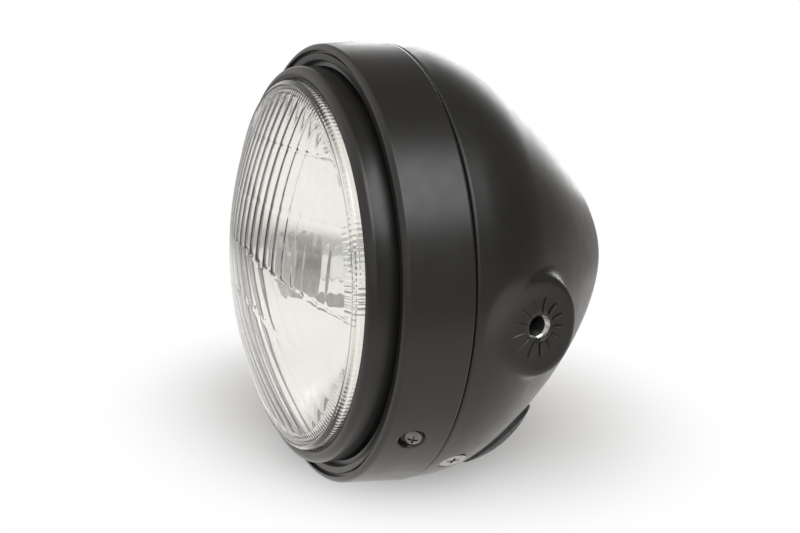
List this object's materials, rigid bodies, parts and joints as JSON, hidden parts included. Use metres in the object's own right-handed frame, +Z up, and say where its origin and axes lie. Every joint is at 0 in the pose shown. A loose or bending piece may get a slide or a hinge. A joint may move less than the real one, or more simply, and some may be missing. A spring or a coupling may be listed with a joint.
{
  "type": "round motorcycle headlight",
  "caption": "Round motorcycle headlight with a black pressed shell, a black trim band, a fluted glass lens and a threaded mounting point at each side.",
  "frame": {"origin": "on the lamp axis, halfway between the lens's front and the shell's rear end", "axes": "+Z up, -Y along the beam, +X towards the right-hand mounting pad as seen by someone facing the lens"},
  "size_m": [0.2, 0.1764, 0.2],
  "materials": {
    "shell_paint": "satin black",
    "band_paint": "satin black",
    "ring_paint": "satin black",
    "lens_glass": "clear, fluted",
    "bulb_glass": "clear",
    "reflector_mirror": "vapour-coated",
    "zinc_plate": "bright zinc",
    "screw_plate": "plated",
    "inner_steel": "plain plated sheet",
    "shield_grey": "matt grey",
    "bulb_metal": "plated",
    "terminal_brass": "plain",
    "black_rubber": "matt"
  },
  "bodies": {
    "root": {"rear_shell": "shell_paint", "bush_left": "zinc_plate", "bush_right": "zinc_plate", "cable_grommet": "black_rubber", "trim_band": "band_paint", "top_catch": "inner_steel", "lug_left": "inner_steel", "lug_right": "inner_steel", "lug_screws": "screw_plate", "lug_nuts": "zinc_plate", "band_screws": "screw_plate", "retaining_ring": "ring_paint", "unit_clips": "inner_steel", "unit_screws": "screw_plate", "lens": "lens_glass", "lens_gasket": "black_rubber", "reflector": "reflector_mirror", "bulb_shield": "shield_grey", "shield_rivet": "inner_steel", "bulb_base": "bulb_metal", "bulb_glass": "bulb_glass", "bulb_filaments": "bulb_metal", "bulb_terminals": "terminal_brass", "bulb_clip": "zinc_plate", "rubber_boot": "black_rubber"}
  },
  "joints": []
}
